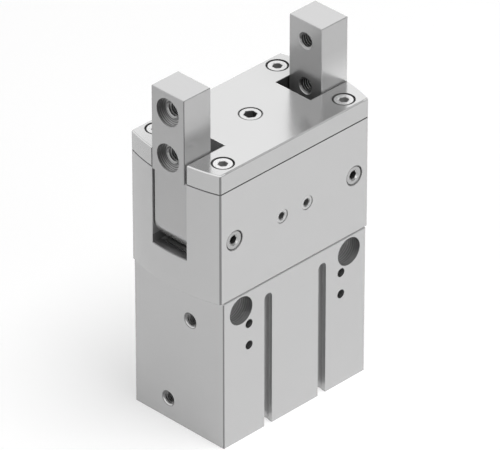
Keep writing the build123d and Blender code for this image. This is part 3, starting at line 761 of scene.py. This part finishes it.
def jawThreads():
    slot = "jaw_steel"
    seatDepth = jawThreadValues["seatDepth"]
    mouth = jawThreadValues["mouth"]
    sink = jawThreadValues["sink"]
    for side, crest in jawThreadValues["crests"].items():
        values = {**jawThreadValues, "finish": ("shadedInnerFlank", crest, "litFlank")}
        body = f"{side}_swing"
        centre, outward, dims = mountPoint(f"{side}_jaw_screws")
        low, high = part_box(f"{side}_jaw")
        outerFace = max(low[0], high[0], key=abs)
        innerFace = centre[0]
        length = abs(outerFace - innerFace) - seatDepth - 2 * (mouth + sink)
        for row, word in ((-0.5, "Lower"), (0.5, "Upper")):
            name = f"{side}Jaw{word}"
            height = centre[2] + row * dims["spacing_y_mm"] * mm
            outer = Vector((outerFace - outward[0] * (seatDepth + mouth), 0, height))
            inner = Vector((innerFace + outward[0] * mouth, 0, height))
            threadMouth(f"{name}OuterMouth", outer, -outward, values, body, slot)
            threadMouth(f"{name}InnerMouth", inner, outward, values, body, slot)
            start = outer - outward * sink
            threadRidge(f"{name}Thread", start, -outward, length, values, body, slot)


# Threads of the air ports
portThreadValues = {
    "major": 2.5 * mm, "minor": 2.07 * mm, "pitch": 0.8 * mm, "steps": 32,
    "mouth": 0.5 * mm,
    "sink": 0.2 * mm,
    "mouthFinish": "shadedMouth",
    "finish": ("shadedCrest", "shadedCrest", "litFlank"),
}


def portThreads():
    values = portThreadValues
    home = ("housing", "block_aluminium")
    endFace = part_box("cylinder_body")[0][0]
    for port in ("upper", "lower"):
        centre, outward, dims = mountPoint(f"{port}_air_port")
        start = Vector((endFace + values["mouth"], centre[1], centre[2]))
        threadMouth(f"{port}PortMouth", start, -outward, values, *home)
        length = dims["length_mm"] * mm - values["mouth"] - values["sink"]
        start -= outward * values["sink"]
        threadRidge(f"{port}PortThread", start, -outward, length, values, *home)


# Threads of the base holes and the front taps
patternThreadValues = {
    "base": {
        "major": 3.0 * mm, "minor": 2.46 * mm, "pitch": 1.0 * mm, "steps": 28,
        "inset": 0.3 * mm, "length": 10.5 * mm,
        "finish": ("shadedInnerFlank", "shadedCrest", "litFlank"),
    },
    "front": {
        "major": 1.65 * mm, "minor": 1.45 * mm, "pitch": 0.7 * mm, "steps": 24,
        "inset": 0.2 * mm, "length": 7.0 * mm,
        # painted shade in the taps
        "finish": ("shadedTapFlank", "shadedTapFlank", "shadedTapFlank"),
    },
}


def patternThreads(mount, kind, rowWords):
    # One thread in each hole of a mount's rectangular pattern on the base or the front
    values = patternThreadValues[kind]
    centre, outward, dims = mountPoint(mount)
    for column, row in halves():
        first = column * dims["spacing_x_mm"] * mm
        second = row * dims["spacing_y_mm"] * mm
        if kind == "base":
            start = Vector((first, second, values["inset"]))
        else:
            start = Vector((first, centre[1] + values["inset"], centre[2] + second))
        name = ("left" if column < 0 else "right") + rowWords[row > 0] + f"{kind.title()}Thread"
        threadRidge(name, start, -outward, values["length"], values, "housing", "block_aluminium")


jawThreads()
portThreads()
patternThreads("base_screws", "base", ("Front", "Back"))
patternThreads("front_taps", "front", ("Lower", "Upper"))
print("threads wound")


# Fasteners with countersunk key sockets, in place of the plain CAD ones. In mm: the outline has
# the radius, the depth below the key's face and the finish of each band, from the socket outwards.
fastenerSteps = 60
knurlCut = 0.975             # share of the radius left in the knurl's grooves
socketTip = 0.15             # shares of the key's half width: radius and depth of the drilled cone
socketCone = 0.3
fastenerValues = {
    "cover_screws": {
        "piece": "coverScrewSet", "slot": "screw_steel", "side": "top", "turn": -34,
        "places": [(-28.93, -15.78), (-28.93, 15.78), (28.93, -15.78), (28.93, 15.78)],
        "finish": ("screw_steel", "shadedScrewSocket", "darkRim"),
        "key": 3.2, "keyDepth": 2.0, "mouth": 1.95, "mouthDrop": 0.1, "mouthFinish": 0,
        "outline": [(3.34, 0.0, 0), (3.5, 0.16, 2), (3.5, 0.5, 2), (3.5, 3.6, 2), (3.4, 4.0, 2),
                    (2.0, 4.0, 2), (2.0, 19.6, 0), (1.6, 20.0, 0)],
        "knurled": (0.5, 3.6),
    },
    "cover_plug": {
        "piece": "coverPlugScrew", "slot": "plug_steel", "side": "top", "turn": -34,
        "places": [(0, 0)],
        "finish": ("plug_steel", "shadedPlugSocket", "darkRim"),
        "key": 4.3, "keyDepth": 4.0, "mouth": 2.5, "mouthDrop": 0.08, "mouthFinish": 0,
        "outline": [(3.72, 0.0, 0), (4.0, 0.28, 2), (4.0, 6.5, 0), (3.68, 6.8, 0)],
    },
    "pivot_plugs": {
        "piece": "pivotPlugPair", "slot": "plug_steel", "side": "front", "turn": 0,
        "places": [(-28.85, 81.8), (28.85, 81.8)],
        "finish": ("pivotFace", "shadedPivotSocket", "pivotRim"),
        "key": 2.9, "keyDepth": 2.8, "mouth": 2.15, "mouthDrop": 0.45, "mouthFinish": 0,
        "outline": [(3.3, 0.0, 0), (3.55, 0.25, 2), (3.55, 4.45, 0), (3.27, 4.7, 0)],
    },
    "guide_screws": {
        "piece": "guideScrewPair", "slot": "plug_steel", "side": "front", "turn": 0,
        "places": [(-6, 81.1), (6, 81.1)],
        "finish": ("plug_steel", "shadedGuideSocket", "softRim"),
        "key": 2.5, "keyDepth": 2.5, "mouth": 1.7, "mouthDrop": 0.25, "mouthFinish": 2,
        "outline": [(2.45, 0.0, 0), (2.6, 0.15, 2), (2.6, 12.5, 0), (1.5, 12.7, 0),
                    (1.5, 14.8, 0)],
    },
}


def circleReach(radius):
    return lambda angle: radius


def keyReach(flat, turn):
    # A hexagon with that distance from its centre to each flat
    return lambda angle: flat / cos((angle - turn) % (pi / 3) - pi / 6)


def setLoop(loop, reach, drop, cut=1.0):
    # Vertices stay on their rays from the axis; cut draws every other one inwards, as a knurl
    for vert in loop:
        angle = atan2(vert.co.y, vert.co.x)
        radius = reach(angle)
        if round(angle / (2 * pi / fastenerSteps)) % 2:
            radius *= cut
        vert.co = (radius * cos(angle), radius * sin(angle), -drop)


def nextLoop(mesh, edges, reach, drop, finish, cut):
    made = bmesh.ops.extrude_edge_only(mesh, edges=edges)["geom"]
    loop = {item for item in made if isinstance(item, bmesh.types.BMVert)}
    setLoop(loop, reach, drop, cut)
    for face in (item for item in made if isinstance(item, bmesh.types.BMFace)):
        face.material_index = finish
    lines = (item for item in made if isinstance(item, bmesh.types.BMEdge))
    return [edge for edge in lines if loop.issuperset(edge.verts)], loop


def socketFastener(mesh, values, place):
    # From the bottom of the socket up, over the face and down the outside, band after band
    flat = values["key"] / 2
    turn = radians(values["turn"])
    loop = bmesh.ops.create_circle(mesh, segments=fastenerSteps, radius=1)["verts"]
    edges = list({edge for vert in loop for edge in vert.link_edges})
    setLoop(loop, keyReach(flat * socketTip, turn), values["keyDepth"] + flat * socketCone)
    bottom = edges
    verts = list(loop)
    bands = [
        (keyReach(flat, turn), values["keyDepth"], 1),
        (keyReach(flat, turn), values["mouthDrop"], 1),
        (circleReach(values["mouth"]), 0, values["mouthFinish"]),
        *((circleReach(radius), drop, finish) for radius, drop, finish in values["outline"]),
    ]
    low, high = values.get("knurled", (1, 0))
    for reach, drop, finish in bands:
        cut = knurlCut if low <= drop <= high else 1.0
        edges, loop = nextLoop(mesh, edges, reach, drop, finish, cut)
        verts.extend(loop)
    for rim, finish in ((bottom, 1), (edges, 0)):
        made = bmesh.ops.contextual_create(mesh, geom=rim)
        for face in made["faces"]:
            face.material_index = finish
    bmesh.ops.transform(mesh, verts=verts, matrix=place)


def makeFasteners():
    frontTurn = Matrix.Rotation(pi / 2, 4, "X")
    for node, values in fastenerValues.items():
        low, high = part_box(node)
        mesh = bmesh.new()
        for first, second in values["places"]:
            if values["side"] == "top":
                place = Matrix.Translation((first * mm, second * mm, high[2]))
            else:
                place = Matrix.Translation((first * mm, low[1], second * mm)) @ frontTurn
            socketFastener(mesh, values, place @ Matrix.Scale(mm, 4))
        bmesh.ops.recalc_face_normals(mesh, faces=mesh.faces)
        piece = finishPiece(values["piece"], mesh, "housing", values["finish"])
        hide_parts(node)
        print("fastener", values["piece"], len(piece.data.polygons))


makeFasteners()
print("fasteners made")


# Floor, world and soft studio lamps
studioValues = {
    "floorSize": 6.0,
    "floorDrop": 0.02 * mm,
    "floorGrey": 0.47,
    "floorRoughness": 0.9,
    "floorGlow": 0.58,       # what the floor adds for the camera and for reflections, up to white
    "worldLight": 0.16,      # the world as it lights the object; camera and metal see it white
    "lampAim": 60 * mm,
    "lamps": {
        # name: azimuth, elevation in degrees, distance and size in metres, light at the object
        "keySoftbox": (15, 72, 1.6, 1.0, 0.9),
        "frontFill": (0, 12, 1.8, 1.0, 0.18),
        "backSoftbox": (135, 32.5, 1.5, 1.1, 0.06),
    },
    "unmirrored": ("keySoftbox",),       # lamps that reflections don't show
    "darkCorner": (47, 36),  # azimuth and elevation of the unlit corner that the metal mirrors
    "darkInner": 13,         # degrees from there within which it is fully dark
    "darkOuter": 41,         # and past which it ends
    "darkLevel": 0.16,
}


def seenDirectly(tree):
    # 1 for rays of the camera and for those that metal or glass sends on, else 0
    rays = addNode(tree, "ShaderNodeLightPath")
    seen = mathNode(tree, "MAXIMUM", rays.outputs["Is Camera Ray"], rays.outputs["Is Glossy Ray"])
    return mathNode(tree, "MAXIMUM", seen, rays.outputs["Is Transmission Ray"])


def makeFloor(values):
    mesh = bmesh.new()
    bmesh.ops.create_grid(mesh, x_segments=1, y_segments=1, size=values["floorSize"] / 2)
    bmesh.ops.translate(mesh, verts=mesh.verts, vec=(0, 0, -values["floorDrop"]))
    data = bpy.data.meshes.new("studioFloor")
    mesh.to_mesh(data)
    mesh.free()
    floor = bpy.data.objects.new("studioFloor", data)
    scene.collection.objects.link(floor)
    material, tree, shader = newMaterial("paleFloor")
    grey = values["floorGrey"]
    shader.inputs["Base Color"].default_value = (grey, grey, grey, 1)
    shader.inputs["Roughness"].default_value = values["floorRoughness"]
    shader.inputs["Specular IOR Level"].default_value = 0.0
    shader.inputs["Emission Color"].default_value = (1, 1, 1, 1)
    glow = product(tree, seenDirectly(tree), values["floorGlow"])
    tree.links.new(glow, shader.inputs["Emission Strength"])
    data.materials.append(material)


def makeWorld(values):
    world = bpy.data.worlds.new("studioWorld")
    world.use_nodes = True
    scene.world = world
    tree = world.node_tree
    background = tree.nodes["Background"]
    coords = addNode(tree, "ShaderNodeTexCoord")
    dot = addNode(tree, "ShaderNodeVectorMath", operation="DOT_PRODUCT")
    dot.inputs[1].default_value = towards(*values["darkCorner"])
    tree.links.new(coords.outputs["Generated"], dot.inputs[0])
    inner = cos(radians(values["darkInner"]))
    outer = cos(radians(values["darkOuter"]))
    level = remap(tree, dot.outputs["Value"], 1.0, values["darkLevel"], outer, inner)
    strength = remap(tree, seenDirectly(tree), values["worldLight"], 1.0)
    background.inputs["Color"].default_value = (1, 1, 1, 1)
    tree.links.new(product(tree, strength, level), background.inputs["Strength"])


def makeLamps(values):
    centre = Vector((0, 0, values["lampAim"]))
    for name, (azimuth, elevation, distance, size, level) in values["lamps"].items():
        data = bpy.data.lights.new(name, "AREA")
        data.shape = "DISK"
        data.size = size
        data.energy = level * pi ** 2 * distance ** 2
        lamp = bpy.data.objects.new(name, data)
        way = towards(azimuth, elevation)
        lamp.location = centre + way * distance
        lamp.visible_glossy = name not in values["unmirrored"]
        lamp.rotation_euler = way.to_track_quat("Z", "Y").to_euler()
        scene.collection.objects.link(lamp)


makeFloor(studioValues)
makeWorld(studioValues)
makeLamps(studioValues)
scene.view_settings.view_transform = "Standard"
print("studio ready")
